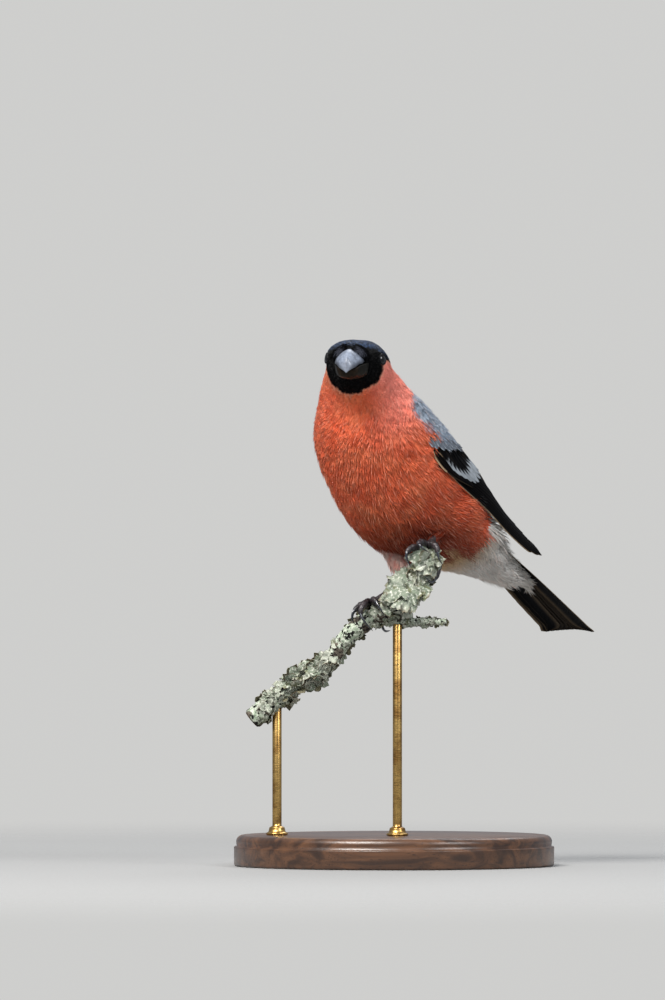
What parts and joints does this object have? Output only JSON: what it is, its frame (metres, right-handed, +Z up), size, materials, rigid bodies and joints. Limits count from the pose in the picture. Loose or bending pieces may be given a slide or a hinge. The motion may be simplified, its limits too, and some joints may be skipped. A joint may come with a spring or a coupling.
{
  "type": "bullfinch",
  "caption": "Life-size perching bullfinch, adult male, gripping a short lichened branch held on rods over a round base.",
  "frame": {"origin": "middle of the underside of the round base", "axes": "+X to the right in the picture, +Y away from its camera, +Z up; the bird's trunk heads 46 degrees to the left of the camera and its head looks 9 degrees to the left of it"},
  "size_m": [0.1177, 0.1157, 0.171],
  "materials": {
    "cap": "glossy blue-black feathers, matt on the face",
    "breast": "soft orange-red feathers",
    "white_down": "soft white feathers",
    "flight": "black feathers with a blue gloss",
    "bill": "satin black horn, blue-grey sheen",
    "eye": "wet dark brown",
    "leg": "scaly purplish brown skin, blue-black claws",
    "bark": "rough bark",
    "lichen": "dry leafy lichen",
    "plinth": "satin stained wood",
    "brass": "aged satin brass"
  },
  "bodies": {
    "root": {"head": "cap", "neck": "breast", "trunk": "breast", "rump": "white_down", "tail_coverts_upper": "flight", "tail_coverts_under": "white_down", "tail": "flight", "bill_upper": "bill", "bill_lower": "bill", "eye_left": "eye", "eye_right": "eye", "wing_left": "flight", "wing_right": "flight", "thigh_left": "breast", "thigh_right": "breast", "leg_left": "leg", "leg_right": "leg", "foot_left": "leg", "foot_right": "leg", "perch_branch": "bark", "perch_lichen_tip": "lichen", "perch_lichen_clump": "lichen", "perch_lichen_low": "lichen", "stand_base": "plinth", "stand_rod_high": "brass", "stand_rod_low": "brass"}
  },
  "joints": []
}
